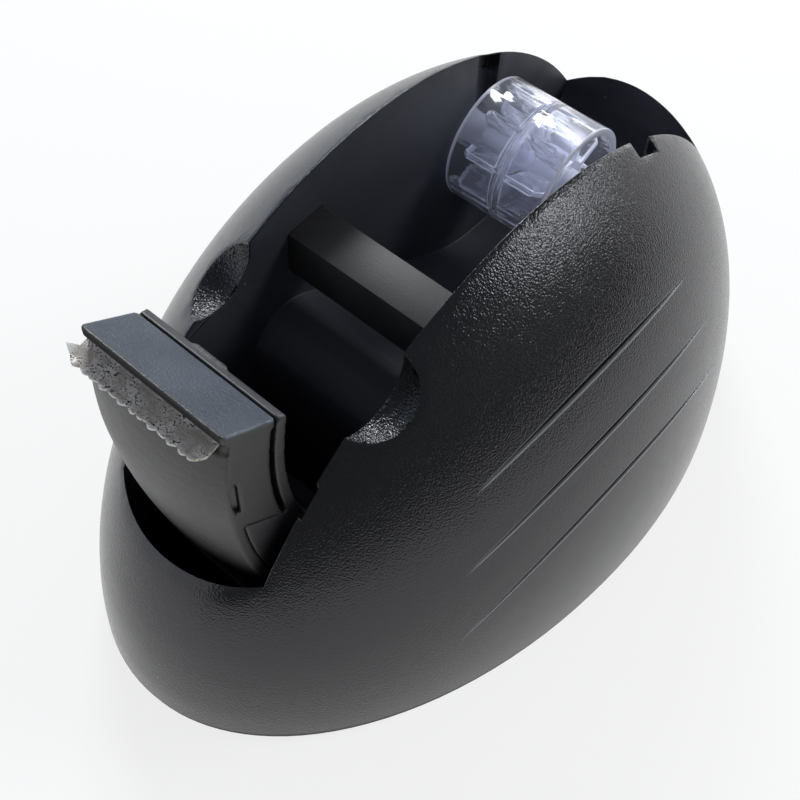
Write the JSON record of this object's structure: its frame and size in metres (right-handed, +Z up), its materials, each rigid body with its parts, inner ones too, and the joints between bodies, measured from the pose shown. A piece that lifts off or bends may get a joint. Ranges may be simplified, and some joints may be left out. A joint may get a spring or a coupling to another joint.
{
  "type": "tape dispenser",
  "caption": "Egg-shaped desktop tape dispenser with an open well, a lift-out clear hub on an axle, thumb scoops, a cross bar and a raised cutter head with a toothed blade.",
  "frame": {"origin": "on the table, below the middle of the dispenser's length and width", "axes": "+Z up, -Y towards the cutter head, +Y towards the hub, X across"},
  "size_m": [0.0998, 0.1612, 0.0843],
  "materials": {
    "shell": "fine stipple grain outside, satin inside the well",
    "bar": "satin",
    "head_cover": "satin",
    "head_rear": "satin",
    "blade_steel": "dull, stained",
    "clear_plastic": "clear, faint violet tint",
    "axle_plastic": "smooth",
    "base_plastic": "matt",
    "ballast_steel": "raw",
    "screw_steel": "zinc plated",
    "rubber": "matt"
  },
  "bodies": {
    "body": {"body_shell": "shell", "tape_bar": "bar", "head_front": "head_cover", "head_back": "head_rear", "blade": "blade_steel", "base_plate": "base_plastic", "ballast_block": "ballast_steel", "base_screws": "screw_steel", "head_screws": "screw_steel", "rubber_feet": "rubber"},
    "axle": {"axle": "axle_plastic"},
    "hub": {"hub_left": "clear_plastic", "hub_right": "clear_plastic"}
  },
  "joints": [
    {"name": "axle_lift", "type": "slide", "parent": "body", "child": "axle", "axis": [0, 0, 1], "range_m": [0, 0.06]},
    {"name": "hub_spin", "type": "hinge", "parent": "axle", "child": "hub", "pos_m": [0, 0.03075, 0.0545], "axis": [1, 0, 0], "continuous": true}
  ]
}
